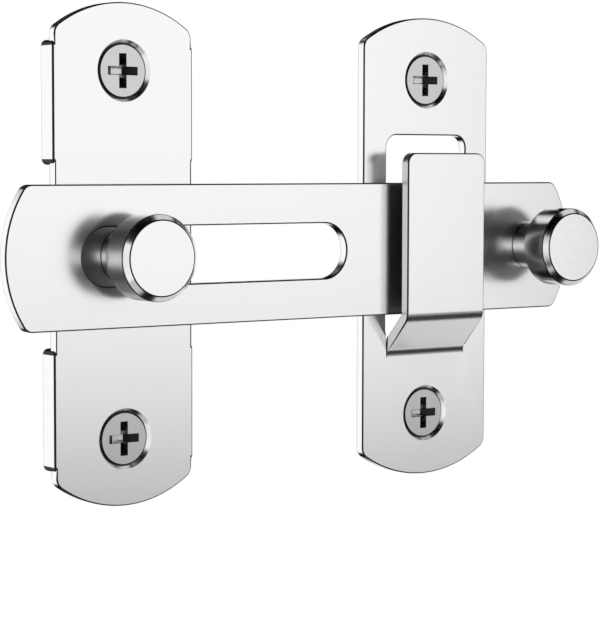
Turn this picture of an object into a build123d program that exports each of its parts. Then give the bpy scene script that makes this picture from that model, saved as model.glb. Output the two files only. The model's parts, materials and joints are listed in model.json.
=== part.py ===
from build123d import *
import os
from math import atan2, radians, sqrt, tan

# A surface-mounted door bolt in stainless steel: a slotted bar turns and slides on a
# knob post that stands on the door's base plate, and drops behind the lanced hook of the
# catch plate on the jamb. Millimetres. +Z is up, the bolt faces -Y, and +X runs from the
# base plate to the catch plate. The origin is the centre of the four screws, on the door face.

# Sheet and plates.
SHEET = 2.0                    # stainless sheet of the bar and both plates
PLATE_SPACING = 69.8           # base plate centre to catch plate centre
PLATE_CORNER_RADIUS = 2.2
BASE_WIDTH = 28.4
BASE_END_RADIUS = 23.0
BASE_STANDOFF = 2.2            # room behind the base plate for the riveted tail
CATCH_WIDTH = 31.4
CATCH_END_RADIUS = 27.2

# Side flanges that raise the base plate.
FLANGE_TIP_INSET = 7.0         # plate's tip to the flange's outer end
FLANGE_BAR_GAP = 3.4           # bar's edge to the flange's inner end
FLANGE_BEND_RADIUS = 0.35      # outer radius of the bend, which stands proud of the cut edge
FLANGE_ROOT_RADIUS = 0.5
FLANGE_END_RADIUS = 1.0

# Screws.
SCREW_TIP_INSET = 12.1         # plate's tip to the centre of its screw
SCREW_LENGTH = 20.0
SCREW_HEAD_DIAMETER = 9.7
SCREW_HEAD_ROUNDING = 0.2
SCREW_HEAD_ANGLE = 90.0        # of the head's cone and of the countersink
SCREW_CORE_DIAMETER = 3.1
SCREW_TIP_LENGTH = 4.0
COUNTERSINK_DIAMETER = 11.05   # at the plate's front
SEAT_CLEARANCE = 0.03
RECESS_SPAN = 6.1              # cross recess at the head's face, tip to tip
RECESS_WING = 1.45
RECESS_DEPTH = 2.3
RECESS_FLOOR_SPAN = 2.2
RECESS_FLOOR_WING = 0.9

# Bolt bar.
BAR_HEIGHT = 25.6
BAR_END_RADIUS = 21.5
BAR_CORNER_RADIUS = 2.0
BAR_GAP = 0.2                  # bar to the plates behind it
SLOT_TRAVEL = 48.0             # between the centres of the slot's round ends
SLOT_FROM_BAR_END = 20.4       # bar's left end to the slot's left centre
BAR_OFFSET = 4.9               # post to the slot's left centre as the bolt is shot
PULL_TO_HOOK = 11.25           # pull knob's neck to the hook's side as the bolt is shot
PULL_FROM_BAR_END = 10.5       # pull knob to the bar's right end

# Knobs.
KNOB_DIAMETER = 15.4
KNOB_HEAD = 6.35
KNOB_CHAMFER = 1.0
PIVOT_NECK_DIAMETER = 10.0
PIVOT_NECK_LENGTH = 6.1
PULL_NECK_DIAMETER = 9.6
PULL_NECK_LENGTH = 6.6
POST_CLEARANCE = 0.26          # post to slot wall
SPIGOT_DIAMETER = 6.0
SPIGOT_CLEARANCE = 0.05        # pivot spigot turning in the base plate
SHOULDER_CLEARANCE = 0.05      # pivot shoulders off the base plate
RIVET_DIAMETER = 8.6
RIVET_THICKNESS = 1.2
RIVET_CHAMFER = 0.6

# Lanced hook.
HOOK_WIDTH = 19.5
HOOK_BAR_GAP = 2.2             # bar's front to the back of the hook's arm
HOOK_ABOVE_BAR = 5.8           # bar's upper edge to the hook's top
HOOK_BELOW_BAR = 0.8           # bar's lower edge to the knee, on the hook's front
HOOK_RISE = 6.7                # root to knee, on the hook's front
HOOK_CORNER_RADIUS = 2.0
ROOT_BEND_RADIUS = 2.5         # inside the root bend, on the front
KNEE_BEND_RADIUS = 1.2         # inside the knee bend, on the back
WINDOW_SIDE_GAP = 0.3          # hook to the window's sides
WINDOW_ABOVE_HOOK = 3.5
WINDOW_TO_COUNTERSINK = 5.275
WINDOW_TOP_RADIUS = 2.5
WINDOW_BOTTOM_RADIUS = 0.6
LANCE_GAP = 0.12               # sheared gap beside the foot of the ramp
LANCE_LENGTH = 4.7
LANCE_RELIEF = 0.1             # end of the shear past the root bend

# Places that follow from the sizes above.
BASE_X = -PLATE_SPACING / 2
CATCH_X = PLATE_SPACING / 2
PLATE_BACK = -BASE_STANDOFF
PLATE_FRONT = PLATE_BACK - SHEET       # both plates' fronts are level
BAR_EDGE = BAR_HEIGHT / 2
BAR_BACK = PLATE_FRONT - BAR_GAP
BAR_FRONT = BAR_BACK - SHEET
SLOT_WIDTH = PIVOT_NECK_DIAMETER + 2 * POST_CLEARANCE
SLOT_LEFT_X = BASE_X - BAR_OFFSET
SLOT_RIGHT_X = SLOT_LEFT_X + SLOT_TRAVEL
BAR_LEFT_X = SLOT_LEFT_X - SLOT_FROM_BAR_END
PULL_X = CATCH_X + HOOK_WIDTH / 2 + PULL_TO_HOOK + PULL_NECK_DIAMETER / 2
BAR_RIGHT_X = PULL_X + PULL_FROM_BAR_END
CONE_RUN = tan(radians(SCREW_HEAD_ANGLE / 2))   # radius a head's cone loses per depth
HOOK_TOP = BAR_EDGE + HOOK_ABOVE_BAR
HOOK_KNEE = -BAR_EDGE - HOOK_BELOW_BAR
HOOK_ROOT = HOOK_KNEE - HOOK_RISE
ARM_BACK = BAR_FRONT - HOOK_BAR_GAP
HOOK_REACH = PLATE_BACK - ARM_BACK     # the arm's shift out from the plate
WINDOW_TOP = HOOK_TOP + WINDOW_ABOVE_HOOK
SCREW_LEVEL = WINDOW_TOP + WINDOW_TO_COUNTERSINK + COUNTERSINK_DIAMETER / 2
PLATE_TIP = SCREW_LEVEL + SCREW_TIP_INSET


def facing(y):
    """Sketch plane parallel to the door at depth y: local x is +X, local y is +Z, normal -Y."""
    return Plane(origin=(0, y, 0), x_dir=(1, 0, 0), z_dir=(0, -1, 0))


def sheet_blank(outline, back):
    """A flat blank of the sheet whose back lies at depth back."""
    return extrude(facing(back) * outline, SHEET)


def arc_ended(length, width, end_radius, corner_radius):
    """Outline along local x: straight sides, ends that bulge as arcs, softened corners."""
    half = width / 2
    rise = end_radius - sqrt(end_radius**2 - half**2)
    tip = length / 2
    shoulder = tip - rise
    face = make_face([
        Line((-shoulder, half), (shoulder, half)),
        ThreePointArc((shoulder, half), (tip, 0), (shoulder, -half)),
        Line((shoulder, -half), (-shoulder, -half)),
        ThreePointArc((-shoulder, -half), (-tip, 0), (-shoulder, half)),
    ])
    return fillet(face.vertices(), corner_radius)


def plate_outline(width, end_radius):
    """An upright plate: the arc-ended outline turned on end."""
    return Rot(0, 0, 90) * arc_ended(2 * PLATE_TIP, width, end_radius, PLATE_CORNER_RADIUS)


def turned(profile, x, z=0):
    """Revolve a closed profile of (radius, y) corners about the line along Y through (x, z)."""
    return Pos(x, 0, z) * revolve(make_face(Polyline(*profile, close=True)), Axis.Y)


def countersink(x, z):
    """Cutter for one countersink, drawn past both faces of the plate."""
    over = SHEET / 4
    front, back = PLATE_FRONT - over, PLATE_BACK + over
    wide = COUNTERSINK_DIAMETER / 2 + over * CONE_RUN
    narrow = wide - (back - front) * CONE_RUN
    return turned([(0, front), (wide, front), (narrow, back), (0, back)], x, z)


def screwed(plate, x):
    """Cut the upper and lower countersinks of a plate."""
    for level in (-SCREW_LEVEL, SCREW_LEVEL):
        plate -= countersink(x, level)
    return plate


def side_flange():
    """The upper right flange, bent back from the plate's edge to the door face."""
    outer = BASE_WIDTH / 2 + FLANGE_BEND_RADIUS
    lap = outer - 2 * SHEET
    section = make_face(Polyline(
        (lap, PLATE_FRONT), (outer, PLATE_FRONT), (outer, 0), (outer - SHEET, 0),
        (outer - SHEET, PLATE_BACK), (lap, PLATE_BACK), close=True))
    bend = section.vertices().sort_by_distance((outer, PLATE_FRONT))[0]
    section = fillet(bend, FLANGE_BEND_RADIUS)
    root = section.vertices().sort_by_distance((outer - SHEET, PLATE_BACK))[0]
    section = fillet(root, FLANGE_ROOT_RADIUS)
    low = BAR_EDGE + FLANGE_BAR_GAP
    flange = Pos(0, 0, low) * extrude(section, PLATE_TIP - FLANGE_TIP_INSET - low)
    ends = flange.edges().filter_by(Axis.Y).group_by(Axis.X)[-1]
    return fillet(ends, FLANGE_END_RADIUS)


def base_plate():
    """The door's plate: arc-ended, raised on four bent flanges, bored for the pivot knob."""
    plate = sheet_blank(plate_outline(BASE_WIDTH, BASE_END_RADIUS), PLATE_BACK)
    right = side_flange()
    for flange in (right, mirror(right, Plane.YZ)):
        plate += flange
        plate += mirror(flange, Plane.XY)
    plate -= sheet_blank(Circle(SPIGOT_DIAMETER / 2 + SPIGOT_CLEARANCE), PLATE_BACK)
    return screwed(Pos(BASE_X, 0, 0) * plate, BASE_X)


def hook_path():
    """The sheet's middle line in (y, z) from below the root to the top, and its root tangent."""
    half = SHEET / 2
    ramp = sqrt(HOOK_RISE**2 + HOOK_REACH**2)
    mitre = half * (ramp - HOOK_RISE) / HOOK_REACH   # the front line's corners, moved back
    root, knee = HOOK_ROOT + mitre, HOOK_KNEE + mitre
    bend = ROOT_BEND_RADIUS + half
    tangent = root - bend * tan(atan2(HOOK_REACH, HOOK_RISE) / 2)
    plate, arm = PLATE_FRONT + half, ARM_BACK - half
    path = FilletPolyline((plate, tangent - SHEET), (plate, root), (arm, knee), (arm, HOOK_TOP),
                          radius=(bend, KNEE_BEND_RADIUS + half))
    return path, tangent


def hook():
    """The tab lanced from the catch plate: root bend, sloping ramp, upright arm."""
    path, _ = hook_path()
    strip = extrude(Plane.YZ * trace(path, SHEET), HOOK_WIDTH / 2, both=True)
    corners = strip.edges().filter_by(Axis.Y).group_by(Axis.Z)[-1]
    return fillet(corners, HOOK_CORNER_RADIUS)


def window():
    """Outline of the opening that the hook leaves, with the sheared gaps at its foot."""
    _, tangent = hook_path()
    end = tangent - LANCE_RELIEF
    bottom = end + LANCE_LENGTH
    height = WINDOW_TOP - bottom
    opening = Pos(0, bottom + height / 2) * Rectangle(HOOK_WIDTH + 2 * WINDOW_SIDE_GAP, height)
    opening = fillet(opening.vertices().group_by(Axis.Y)[-1], WINDOW_TOP_RADIUS)
    opening = fillet(opening.vertices().group_by(Axis.Y)[0], WINDOW_BOTTOM_RADIUS)
    shear = LANCE_LENGTH + WINDOW_BOTTOM_RADIUS
    return opening + Pos(0, end + shear / 2) * Rectangle(HOOK_WIDTH + 2 * LANCE_GAP, shear)


def catch_plate():
    """The jamb's plate with its window and lanced hook."""
    outline = plate_outline(CATCH_WIDTH, CATCH_END_RADIUS) - window()
    plate = sheet_blank(outline, PLATE_BACK) + hook()
    return screwed(Pos(CATCH_X, 0, 0) * plate, CATCH_X)


def rivet_seat():
    """Corners of the pull knob's spigot, flared to a flush riveted end at the bar's back."""
    spigot, rivet = SPIGOT_DIAMETER / 2, RIVET_DIAMETER / 2
    return [(0, BAR_FRONT), (spigot, BAR_FRONT), (spigot, BAR_BACK - (rivet - spigot)),
            (rivet, BAR_BACK), (0, BAR_BACK)]


def bolt_bar():
    """The slotted bar, countersunk behind for the pull knob's riveted spigot."""
    blank = Pos((BAR_LEFT_X + BAR_RIGHT_X) / 2, 0) * arc_ended(
        BAR_RIGHT_X - BAR_LEFT_X, BAR_HEIGHT, BAR_END_RADIUS, BAR_CORNER_RADIUS)
    slot = Pos((SLOT_LEFT_X + SLOT_RIGHT_X) / 2, 0) * SlotCenterToCenter(SLOT_TRAVEL, SLOT_WIDTH)
    return sheet_blank(blank - slot, BAR_BACK) - turned(rivet_seat(), PULL_X)


def knob_corners(neck, foot, length):
    """Corners of a knob from its neck's foot, at depth foot, out to the axis at its face."""
    rim = KNOB_DIAMETER / 2
    back = foot - length
    face = back - KNOB_HEAD
    return [(neck, foot), (neck, back), (rim, back), (rim, face + KNOB_CHAMFER),
            (rim - KNOB_CHAMFER, face), (0, face)]


def pivot_knob():
    """The turned post that the bar rides on, riveted loosely through the base plate."""
    spigot, rivet = SPIGOT_DIAMETER / 2, RIVET_DIAMETER / 2
    foot = PLATE_FRONT - SHOULDER_CLEARANCE
    tail = PLATE_BACK + SHOULDER_CLEARANCE
    end = tail + RIVET_THICKNESS
    head = knob_corners(PIVOT_NECK_DIAMETER / 2, foot, PIVOT_NECK_LENGTH)
    return turned(head + [(0, end), (rivet - RIVET_CHAMFER, end), (rivet, end - RIVET_CHAMFER),
                          (rivet, tail), (spigot, tail), (spigot, foot)], BASE_X)


def pull_knob():
    """The turned knob riveted to the bar's outer end."""
    head = knob_corners(PULL_NECK_DIAMETER / 2, BAR_FRONT, PULL_NECK_LENGTH)
    return turned(head + rivet_seat()[:0:-1], PULL_X)


def cross(span, wing):
    """Outline of a cross recess."""
    return Rectangle(span, wing) + Rectangle(wing, span)


def screw():
    """A countersunk screw on the Y axis, seated in the depth of a plate's countersink."""
    head, core = SCREW_HEAD_DIAMETER / 2, SCREW_CORE_DIAMETER / 2
    rim = PLATE_FRONT + (COUNTERSINK_DIAMETER / 2 - head) / CONE_RUN - SEAT_CLEARANCE
    face = rim - SCREW_HEAD_ROUNDING
    end = face + SCREW_LENGTH
    body = turned([(0, face), (head - SCREW_HEAD_ROUNDING, face), (head, rim),
                   (core, rim + (head - core) / CONE_RUN), (core, end - SCREW_TIP_LENGTH),
                   (0, end)], 0)
    return body - loft([facing(face) * cross(RECESS_SPAN, RECESS_WING),
                        facing(face + RECESS_DEPTH) * cross(RECESS_FLOOR_SPAN, RECESS_FLOOR_WING)])


def pieces():
    """Every piece by its node name, in place with the bolt shot."""
    named = {"base_plate": base_plate(), "catch_plate": catch_plate(), "bolt_bar": bolt_bar(),
             "pivot_knob": pivot_knob(), "pull_knob": pull_knob()}
    fastener = screw()
    for plate, x in (("base", BASE_X), ("catch", CATCH_X)):
        for end, level in (("top", SCREW_LEVEL), ("bottom", -SCREW_LEVEL)):
            named[f"screw_{plate}_{end}"] = Pos(x, 0, level) * fastener
    return named


os.makedirs("parts", exist_ok=True)
for name, solid in pieces().items():
    export_step(solid, f"parts/{name}.step")
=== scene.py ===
"""A surface-mounted door bolt in stainless steel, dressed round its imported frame, in metres."""

import json

import bmesh
import bpy
import numpy as np
from mathutils import Matrix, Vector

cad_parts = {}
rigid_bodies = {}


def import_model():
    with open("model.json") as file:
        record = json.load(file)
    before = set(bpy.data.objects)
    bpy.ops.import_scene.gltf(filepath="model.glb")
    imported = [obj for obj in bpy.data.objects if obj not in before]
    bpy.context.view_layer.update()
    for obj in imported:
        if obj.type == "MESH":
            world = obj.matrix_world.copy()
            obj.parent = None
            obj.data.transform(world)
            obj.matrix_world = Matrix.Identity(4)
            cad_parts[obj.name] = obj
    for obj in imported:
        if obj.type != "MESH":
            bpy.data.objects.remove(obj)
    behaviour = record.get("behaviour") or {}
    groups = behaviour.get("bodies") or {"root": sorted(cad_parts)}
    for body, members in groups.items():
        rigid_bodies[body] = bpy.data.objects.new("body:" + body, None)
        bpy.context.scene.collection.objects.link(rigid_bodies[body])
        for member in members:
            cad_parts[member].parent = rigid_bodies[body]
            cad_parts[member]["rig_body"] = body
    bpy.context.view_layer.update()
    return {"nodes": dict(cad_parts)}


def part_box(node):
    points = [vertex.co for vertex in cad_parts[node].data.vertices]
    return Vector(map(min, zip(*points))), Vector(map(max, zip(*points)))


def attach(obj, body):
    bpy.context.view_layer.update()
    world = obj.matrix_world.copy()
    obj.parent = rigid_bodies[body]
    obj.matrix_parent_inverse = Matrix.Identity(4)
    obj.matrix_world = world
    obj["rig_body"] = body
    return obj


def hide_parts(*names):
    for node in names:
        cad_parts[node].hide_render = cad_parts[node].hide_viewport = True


MM = 0.001

# The camera, as fitted to the photograph: its place, its turn to the right, its dip, its roll
# and its focal length in pixels of the 600 x 630 picture.
CAMERA_PLACE = (-237.53 * MM, -331.30 * MM, 16.68 * MM)
CAMERA_YAW = 36.444
CAMERA_DIP = 4.057
CAMERA_ROLL = -0.124
FOCAL_PIXELS = 2148.4
PICTURE_LONG_SIDE = 630
SENSOR = 36.0

# Broken edges: their widths, the steps that round them, and the bend in degrees from which an
# edge of the solid is a real one and not a seam between facets.
SHEET_EDGE = 0.24 * MM
KNOB_EDGE = 0.15 * MM
SCREW_EDGE = 0.05 * MM
EDGE_STEPS = 3
SHEET_REAL_EDGE = 50.0
TURNED_REAL_EDGE = 24.0
SHARP_SHADING = 24.0           # bend from which an edge is shaded sharp
SAME_PLACE = 0.001 * MM        # points nearer than this are merged
SAME_PLANE = 0.4               # facets that bend less than this are merged

# Where the finish changes, by the Y part of a face's normal, except for the last.
# The flanges' bends and cut ends and the screws' head rims take the near-black edge colour: a
# painted dark reflection band.
BACKWARD = 0.7                 # from here on a face is a back
FLANGE_BEND_PAINTED_DARK = (-0.99, -0.1)    # outside of a flange's bend
HEAD_RIM_PAINTED_DARK = (-0.85, -0.6)       # rounded rim of a screw's head
END_TILT = 0.02                # least Z part of the normal at a flange's cut end

# The plates' middle lines. From them, how far out the base plate's flanges and the slits beside
# the foot of the hook lie, and the heights of the flanges' cut ends and of the slits' tops.
BASE_X, CATCH_X = -34.9 * MM, 34.9 * MM
FLANGE_OUT = (12.3 * MM, 14.6 * MM)
FLANGE_ENDS = ((16.1 * MM, 17.2 * MM), (37.0 * MM, 38.1 * MM))
SLIT = (9.6 * MM, 9.95 * MM)
SLIT_TOP = -17.3 * MM

# Wood-screw thread on the plain shank.
SHANK = 1.55 * MM              # radius
TIP_LENGTH = 4.0 * MM          # over which the shank runs to its point
THREAD_OUTSIDE = 2.55 * MM     # radius over the ridge
THREAD_PITCH = 1.87 * MM
THREAD_START = 6.6 * MM        # from the screw's face, past its head and a plain neck
THREAD_STOP = 0.5 * MM         # short of the point
THREAD_FLANK = 0.62 * MM       # half the ridge's width at the shank
THREAD_SUNK = 0.06 * MM        # depth of the ridge's sides in the shank
THREAD_RISE = 0.8              # turns over which it rises at the neck
THREAD_FALL = 0.5              # turns over which it falls at the point
POINT_HEIGHT = 0.35            # share of its height that is left at the point
POINT_WIDTH = 0.4              # share of its width that is left at the point
CREST_POWER = 0.9              # 1 is a plain ridge, less is rounder
STEPS_A_TURN = 28
STEPS_ACROSS = 9

# Strength of the bump in every finish. Its height is set with the finish.
BUMP_STRENGTH = 0.25

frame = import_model()


def linear(code):
    """sRGB hex colour as linear red, green, blue and alpha."""
    parts = np.array([int(code[i:i + 2], 16) for i in (0, 2, 4)]) / 255
    low, high = parts / 12.92, ((parts + 0.055) / 1.055) ** 2.4
    return (*np.where(parts <= 0.04045, low, high), 1.0)


def add(tree, kind, links=None, **settings):
    """A node of that kind: settings by attribute or input name, links by input name."""
    node = tree.nodes.new(kind)
    for name, value in settings.items():
        if hasattr(node, name):
            setattr(node, name, value)
        else:
            node.inputs[name.replace("_", " ")].default_value = value
    for name, source in (links or {}).items():
        tree.links.new(source, node.inputs[name])
    return node


def empty_material(name):
    """A new material with an empty node tree, and that tree."""
    material = bpy.data.materials.new(name)
    material.use_nodes = True
    material.node_tree.nodes.clear()
    return material, material.node_tree


def finish_material(tree, shader):
    """The tree ends in that shader."""
    add(tree, "ShaderNodeOutputMaterial", {"Surface": shader})


def metal(tree, pattern, code, roughness, spread, height):
    """Steel of that colour, whose roughness and height follow a pattern between 0 and 1."""
    gloss = add(tree, "ShaderNodeMapRange", {"Value": pattern},
                To_Min=roughness - spread, To_Max=roughness + spread)
    bump = add(tree, "ShaderNodeBump", {"Height": pattern},
               Strength=BUMP_STRENGTH, Distance=height)
    return add(tree, "ShaderNodeBsdfPrincipled",
               {"Roughness": gloss.outputs[0], "Normal": bump.outputs[0]},
               Base_Color=linear(code), Metallic=1.0).outputs[0]


def cloudy_steel(name, code, roughness, spread, cloud, detail, height):
    """Steel with clouds of that size in its gloss, where nothing has polished them out."""
    material, tree = empty_material(name)
    place = add(tree, "ShaderNodeTexCoord").outputs["Object"]
    noise = add(tree, "ShaderNodeTexNoise", {"Vector": place}, Scale=1 / cloud, Detail=detail)
    finish_material(tree, metal(tree, noise.outputs["Fac"], code, roughness, spread, height))
    return material


def sheared_edge_and_painted_dark_band():
    """Sheared and tumbled edge of the sheet: rounded over and duller than the faces. Its near-black
    colour is a painted dark reflection band. It is laid on every broken edge, on the flanges' bends
    and cut ends, and on the screws' head rims.
    """
    return cloudy_steel("stainless_sheet_sheared_edge_and_painted_dark_band", "343436", roughness=0.36, spread=0.05,
                        cloud=0.6 * MM, detail=3.0, height=0.002 * MM)


def stainless_back(name, code):
    """Back of the steel as the mill or the lathe left it: unpolished, grey and cloudy."""
    return cloudy_steel(name, code, roughness=0.30, spread=0.05,
                        cloud=1.5 * MM, detail=4.0, height=0.003 * MM)


def stainless_screw():
    """Cold-headed and rolled stainless wire, tumbled bright: darker and a little cloudy."""
    return cloudy_steel("stainless_screw_tumbled", "D4D4D5", roughness=0.24, spread=0.04,
                        cloud=0.8 * MM, detail=4.0, height=0.002 * MM)


def stainless_sheet():
    """Cold-rolled stainless sheet, polished: a soft mirror with a faint level grain. The real
    grain is too fine to show, so it is drawn 14 mm long and 0.5 mm wide."""
    material, tree = empty_material("stainless_sheet_polished")
    long, wide = 14 * MM, 0.5 * MM
    place = add(tree, "ShaderNodeTexCoord").outputs["Object"]
    drawn = add(tree, "ShaderNodeMapping", {"Vector": place}, Scale=(1 / long, 1 / wide, 1 / wide))
    grain = add(tree, "ShaderNodeTexNoise", {"Vector": drawn.outputs[0]}, Scale=1.0, Detail=3.0)
    finish_material(tree, metal(tree, grain.outputs["Fac"], "FCFCFD", roughness=0.22,
                                spread=0.015, height=0.0002 * MM))
    return material


def stainless_turned(name, x):
    """Turned and polished stainless bar: a mirror with faint rings round the knob's axis at x.
    The real rings are too fine to show, so they are drawn 2.2 mm apart. At scale 1 a wave
    texture repeats every tenth of pi."""
    material, tree = empty_material(name)
    apart = 2.2 * MM
    place = add(tree, "ShaderNodeTexCoord").outputs["Object"]
    centred = add(tree, "ShaderNodeMapping", {"Vector": place}, Location=(-x, 0, 0))
    rings = add(tree, "ShaderNodeTexWave", {"Vector": centred.outputs[0]}, wave_type="RINGS",
                rings_direction="Y", Scale=np.pi / 10 / apart, Distortion=0.6, Detail=2.0)
    finish_material(tree, metal(tree, rings.outputs["Fac"], "FAFAFB", roughness=0.18,
                                spread=0.006, height=0.00003 * MM))
    return material


def placed(mesh, *materials):
    """The mesh as an object at the origin with smooth faces and its materials in that order."""
    mesh.polygons.foreach_set("use_smooth", np.ones(len(mesh.polygons), bool))
    for material in materials:
        mesh.materials.append(material)
    piece = bpy.data.objects.new(mesh.name, mesh)
    bpy.context.scene.collection.objects.link(piece)
    return piece


def surface(name, points, faces, material):
    """An object of those points and faces."""
    mesh = bpy.data.meshes.new(name)
    mesh.from_pydata(points.tolist(), [], faces.tolist())
    return placed(mesh, material)


def grid_faces(rows, columns, closed=False):
    """Quads of a rows by columns grid of points, joined up along the columns if closed."""
    across = columns if closed else columns - 1
    r, c = np.meshgrid(np.arange(rows - 1), np.arange(across), indexing="ij")
    near, far = r * columns + c, r * columns + (c + 1) % columns
    return np.stack([near, far, far + columns, near + columns], -1).reshape(-1, 4)


def inside(value, span):
    """True where the value lies in the span."""
    return span[0] < value < span[1]


def finish_index(node, face):
    """0 for a polished face, 1 for an edge left by shearing, rolling or bending, 2 for an
    unpolished back. The near-black colour of 1 is partly a duller finish and partly a painted dark
    reflection.
    """
    place, normal = face.calc_center_median(), face.normal
    # A flange's bend and its cut ends are painted with the dark reflection band.
    if node == "base_plate" and inside(abs(place.x - BASE_X), FLANGE_OUT):
        at_end = any(inside(abs(place.z), span) for span in FLANGE_ENDS)
        if (at_end and abs(normal.z) > END_TILT) or inside(normal.y, FLANGE_BEND_PAINTED_DARK):
            return 1
    # A screw head's rounded rim is painted with the dark reflection band.
    if node.startswith("screw") and inside(normal.y, HEAD_RIM_PAINTED_DARK):
        return 1
    return 2 if normal.y > BACKWARD else 0


def in_slit(line):
    """True for an edge of the tight slits beside the foot of the hook."""
    return all(inside(abs(v.co.x - CATCH_X), SLIT) and v.co.z < SLIT_TOP for v in line.verts)


def broken_edges(node, width, real_edge, *materials):
    """The node's own shape with each edge sharper than real_edge degrees rounded over by the width,
    in place of the node. Materials: the faces', the edges' and the backs'. The edges' material is
    near-black, partly for its duller finish and partly as a painted dark reflection."""
    mesh = bpy.data.meshes.new(node + "_finished")
    work = bmesh.new()
    work.from_mesh(frame["nodes"][node].data)
    bmesh.ops.remove_doubles(work, verts=work.verts, dist=SAME_PLACE)
    bmesh.ops.dissolve_limit(work, angle_limit=np.radians(SAME_PLANE),
                             verts=work.verts, edges=work.edges)
    for face in work.faces:
        face.material_index = finish_index(node, face)
    real = []
    for line in work.edges:
        bend = np.degrees(line.calc_face_angle_signed(0.0))
        if bend > real_edge and not in_slit(line):
            real.append(line)
        line.smooth = abs(bend) < SHARP_SHADING
    # The rounded edges take the near-black edge colour. It is partly their duller finish and partly
    # a painted dark reflection.
    bmesh.ops.bevel(work, geom=real, offset=width, segments=EDGE_STEPS, profile=0.5,
                    affect="EDGES", clamp_overlap=False, material=1)
    bmesh.ops.triangulate(work, faces=[f for f in work.faces if len(f.verts) > 4])
    work.to_mesh(mesh)
    work.free()
    piece = placed(mesh, *materials)
    crisp = piece.modifiers.new("flat_faces_stay_flat", "WEIGHTED_NORMAL")
    crisp.weight = 100
    crisp.keep_sharp = True
    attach(piece, frame["nodes"][node]["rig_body"])
    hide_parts(node)
    return piece


def thread(node, material):
    """A rolled thread: a round-topped ridge carried along a helix. Along it, t runs from 0 at
    the neck to 1 at the point, and across it, s runs from -1 to 1. Its radius is the shank's
    plus a height times a power of 1 - |s|, and the height runs to nothing at both ends."""
    low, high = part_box(node)
    x, z = (low.x + high.x) / 2, (low.z + high.z) / 2
    start, end = low.y + THREAD_START, high.y - THREAD_STOP
    turns = (end - start) / THREAD_PITCH
    t = np.linspace(0, 1, int(turns * STEPS_A_TURN))[:, None]
    s = np.linspace(-1, 1, STEPS_ACROSS)[None, :]
    along = start + (end - start) * t
    tip = np.clip((high.y - along) / TIP_LENGTH, 0, 1)
    grown = np.clip(np.minimum(t * turns / THREAD_RISE, (1 - t) * turns / THREAD_FALL), 0, 1)
    tall = (THREAD_OUTSIDE - SHANK) * grown * (POINT_HEIGHT + (1 - POINT_HEIGHT) * tip)
    wide = THREAD_FLANK * (POINT_WIDTH + (1 - POINT_WIDTH) * tip)
    crest = (tall + THREAD_SUNK) * (1 - np.abs(s)) ** CREST_POWER
    radius = SHANK * tip - THREAD_SUNK + crest
    turn = 2 * np.pi * turns * t * np.ones_like(s)
    points = np.stack([x + radius * np.cos(turn), along + s * wide, z - radius * np.sin(turn)], -1)
    rows, columns = turn.shape
    name = node.replace("screw", "thread")
    faces = grid_faces(rows, columns, closed=True)
    piece = surface(name, points.reshape(-1, 3), faces, material)
    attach(piece, frame["nodes"][node]["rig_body"])


def dress():
    """Every piece of the bolt with its finish."""
    # The edge colour is partly the cut edges' duller finish and partly a painted dark reflection
    # band.
    sheet, cut_edge_and_painted_dark = stainless_sheet(), sheared_edge_and_painted_dark_band()
    back = stainless_back("stainless_mill_finish_back", "A8A8AA")
    # The knobs' undersides are unpolished as turned. They are also darker than the backs: painted
    # shade under the heads, which shows in the bar's reflection round the necks.
    underside_and_painted_shade = stainless_back("stainless_as_turned_underside_and_painted_shade", "808082")
    for node in ("base_plate", "catch_plate", "bolt_bar"):
        plate = broken_edges(node, SHEET_EDGE, SHEET_REAL_EDGE, sheet, cut_edge_and_painted_dark, back)
    for node in ("pivot_knob", "pull_knob"):
        low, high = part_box(node)
        turned = stainless_turned("stainless_turned_" + node, (low.x + high.x) / 2)
        knob = broken_edges(node, KNOB_EDGE, TURNED_REAL_EDGE, turned, cut_edge_and_painted_dark, underside_and_painted_shade)
    wire = stainless_screw()
    for node in sorted(frame["nodes"]):
        if node.startswith("screw"):
            screw = broken_edges(node, SCREW_EDGE, TURNED_REAL_EDGE, wire, cut_edge_and_painted_dark, wire)
            thread(node, wire)


# Studio. A tent of dark cloth stands round the bolt, open where the white studio shows in the
# steel. Each opening runs from one azimuth to another and from one elevation to another, in
# degrees; then come how clear it is and how softly its sides and its ends fade. Azimuth runs
# from -Y towards +X.
TENT_RADIUS = 1.2
TENT_COLUMNS, TENT_ROWS = 180, 121
TENT_OPENINGS = (
    (-6, 49, -11, 24, 1.00, 8, 14),      # in front, to the right: shows in the plates' faces
    (-35, -22, -12, 5, 0.75, 4, 5),      # in front, to the left, on this side of the camera
    (-44, -35, -14, 10, 0.54, 4, 5),     # behind the camera
    (-62, -42, -46, 28, 1.00, 5, 8),     # farther to the left: shows in the knobs' chamfers
    (-60, -20, -74, -46, 0.55, 6, 8),    # in front, to the left, far below
    (-22, -6, -16, 16, 0.30, 6, 6),      # in front, a little to the left
    (45, 105, 40, 68, 0.65, 5, 5),       # to the right, high up
    (67, 131, -70, -16, 0.64, 5, 6),     # to the right, below: shows in the hook's ramp
    (28, 48, -21, -10, 0.28, 5, 8),      # just under the first: softens the hook's bends
    (192, 240, -38, 28, 1.00, 5, 10),    # behind, to the left: shows in the left sides
    (106, 150, -34, 8, 0.80, 5, 5),      # behind, to the right
    (150, 190, -22, 8, 0.40, 5, 5),      # straight behind
    (160, 200, 42, 63, 1.00, 4, 3),      # straight behind, high up
    (-118, -68, -60, 60, 0.60, 6, 8),    # to the left
    (-10, 14, -28, -13, 0.60, 5, 5),     # straight in front, a little lower
    (14, 36, -60, -21, 0.55, 5, 5),      # in front, to the right, below
    (56, 104, -16, 32, 0.55, 6, 6),      # to the right
    (106, 158, -75, -40, 0.50, 6, 6),    # behind, to the right, below
    (-180, 180, 83, 97, 0.60, 6, 4),     # straight above
)


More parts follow.
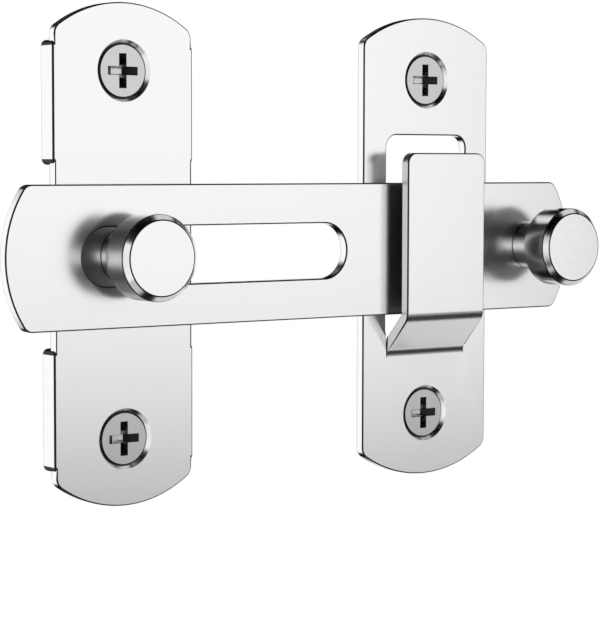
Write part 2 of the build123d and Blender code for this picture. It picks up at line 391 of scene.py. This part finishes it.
def smooth(x):
    """Smoothstep of x from 0 to 1."""
    x = np.clip(x, 0, 1)
    return x * x * (3 - 2 * x)


def clearness(azimuth, elevation):
    """How open the tent is at those angles, from 0 to 1: as open as its clearest opening there.
    Each is a rectangle in azimuth and elevation whose borders fade by a smoothstep."""
    clear = 0.0
    for left, right, low, high, level, side_fade, end_fade in TENT_OPENINGS:
        off = np.abs((azimuth - (left + right) / 2 + 180) % 360 - 180)
        up = np.abs(elevation - (low + high) / 2)
        across = smooth(0.5 + ((right - left) / 2 - off) / side_fade)
        upward = smooth(0.5 + ((high - low) / 2 - up) / end_fade)
        clear = np.maximum(clear, level * across * upward)
    return clear


def tent_cloth():
    """Dark cloth, with an opening wherever its shade is less than 1."""
    material, tree = empty_material("tent_dark_cloth")
    shade = add(tree, "ShaderNodeAttribute", attribute_name="shade").outputs["Fac"]
    gap = add(tree, "ShaderNodeBsdfTransparent").outputs[0]
    cloth = add(tree, "ShaderNodeEmission", Color=linear("000000"), Strength=0.0).outputs[0]
    mixed = add(tree, "ShaderNodeMixShader", {0: shade, 1: gap, 2: cloth})
    finish_material(tree, mixed.outputs[0])
    return material


def tent():
    """A sphere by azimuth and elevation, which only reflections see, with a shade at each point."""
    azimuth = np.linspace(-180, 180, TENT_COLUMNS, endpoint=False)[None, :]
    elevation = np.linspace(-90, 90, TENT_ROWS)[:, None]
    around, up = np.radians(azimuth), np.radians(elevation)
    points = TENT_RADIUS * np.stack(np.broadcast_arrays(
        np.cos(up) * np.sin(around), -np.cos(up) * np.cos(around), np.sin(up)), -1)
    faces = grid_faces(TENT_ROWS, TENT_COLUMNS, closed=True)
    cloth = surface("tent", points.reshape(-1, 3), faces, tent_cloth())
    shade = 1 - clearness(azimuth, elevation)
    values = cloth.data.attributes.new("shade", "FLOAT", "POINT")
    values.data.foreach_set("value", shade.ravel().astype(np.float32))
    for kind in ("camera", "diffuse", "transmission", "volume_scatter", "shadow"):
        setattr(cloth, "visible_" + kind, False)


def seen_white(tree):
    """1 where a camera, glossy or transmission ray looks, else 0."""
    path = add(tree, "ShaderNodeLightPath").outputs
    first = add(tree, "ShaderNodeMath", {0: path["Is Camera Ray"], 1: path["Is Glossy Ray"]},
                operation="MAXIMUM").outputs[0]
    return add(tree, "ShaderNodeMath", {0: first, 1: path["Is Transmission Ray"]},
               operation="MAXIMUM").outputs[0]


PLAIN_LEVEL = 0.85             # of the white that lights the bolt


def studio():
    """White all round for what looks at it, a plain soft level for what it lights."""
    world = bpy.data.worlds.new("white_studio")
    bpy.context.scene.world = world
    world.use_nodes = True
    world.cycles.sampling_method = "NONE"
    tree = world.node_tree
    tree.nodes.clear()
    colour = linear("FFFFFF")
    plain = add(tree, "ShaderNodeBackground", Color=colour, Strength=PLAIN_LEVEL).outputs[0]
    white = add(tree, "ShaderNodeBackground", Color=colour, Strength=1.0).outputs[0]
    mixed = add(tree, "ShaderNodeMixShader", {0: seen_white(tree), 1: plain, 2: white})
    add(tree, "ShaderNodeOutputWorld", {"Surface": mixed.outputs[0]})


FLOOR_LEVEL = -0.12
FLOOR_RADIUS = 3.0
FLOOR_POINTS = 49
SHADOW_FROM = 0.06             # distance from the middle at which the card begins to whiten
SHADOW_TO = 0.20               # and at which it is plain white


def floor_card():
    """Matt pale card that shows the bolt's soft shadow in its middle and is white beyond."""
    material, tree = empty_material("floor_pale_card")
    place = add(tree, "ShaderNodeTexCoord").outputs["Object"]
    flat = add(tree, "ShaderNodeVectorMath", {0: place}, operation="MULTIPLY")
    flat.inputs[1].default_value = (1, 1, 0)
    distance = add(tree, "ShaderNodeVectorMath", {0: flat.outputs[0]}, operation="LENGTH")
    away = add(tree, "ShaderNodeMapRange", {"Value": distance.outputs["Value"]},
               interpolation_type="SMOOTHSTEP", From_Min=SHADOW_FROM, From_Max=SHADOW_TO)
    factor = add(tree, "ShaderNodeMath", {0: away.outputs[0], 1: seen_white(tree)},
                 operation="MULTIPLY").outputs[0]
    card = add(tree, "ShaderNodeBsdfPrincipled", Base_Color=linear("F4F4F4"), Roughness=0.9)
    white = add(tree, "ShaderNodeEmission", Color=linear("FFFFFF"), Strength=1.0)
    mixed = add(tree, "ShaderNodeMixShader",
                {0: factor, 1: card.outputs[0], 2: white.outputs[0]})
    finish_material(tree, mixed.outputs[0])
    return material


def floor():
    """A round floor: a square grid of x and y from -1 to 1, each point divided by the root of 1
    plus the smaller of its two squares, which brings the border to a circle."""
    side = np.linspace(-1, 1, FLOOR_POINTS)
    x, y = np.meshgrid(side, side)
    reach = FLOOR_RADIUS / np.sqrt(1 + np.minimum(x * x, y * y))
    points = np.stack([x * reach, y * reach, np.full_like(x, FLOOR_LEVEL)], -1)
    faces = grid_faces(FLOOR_POINTS, FLOOR_POINTS)
    disc = surface("floor", points.reshape(-1, 3), faces, floor_card())
    disc.visible_glossy = False


LAMP_PLACE = (-0.1, -0.2, 0.8)
LAMP_TURN = (0.2, -0.12, 0)    # tilts it towards the bolt
LAMP_WIDTH = 0.5
LAMP_WATTS = 1.5


def lamp():
    """One broad lamp overhead, which gives the floor its soft shadow."""
    light = bpy.data.lights.new("overhead", "AREA")
    light.shape = "DISK"
    light.size = LAMP_WIDTH
    light.energy = LAMP_WATTS
    holder = bpy.data.objects.new("overhead", light)
    holder.location = LAMP_PLACE
    holder.rotation_euler = LAMP_TURN
    holder.visible_glossy = False
    bpy.context.scene.collection.objects.link(holder)


def camera():
    """The photograph's view: the camera looks along +Y, turned right, dipped and rolled."""
    lens = bpy.data.cameras.new("camera")
    lens.sensor_width = SENSOR
    lens.lens = FOCAL_PIXELS * SENSOR / PICTURE_LONG_SIDE
    lens.clip_start, lens.clip_end = 0.01, 20
    eye = bpy.data.objects.new("camera", lens)
    turn = (Matrix.Rotation(-np.radians(CAMERA_YAW), 4, "Z")
            @ Matrix.Rotation(np.radians(90 - CAMERA_DIP), 4, "X")
            @ Matrix.Rotation(-np.radians(CAMERA_ROLL), 4, "Z"))
    eye.matrix_world = Matrix.Translation(CAMERA_PLACE) @ turn
    bpy.context.scene.collection.objects.link(eye)
    bpy.context.scene.camera = eye


dress()
tent()
studio()
floor()
lamp()
camera()
bpy.context.scene.view_settings.view_transform = "Standard"
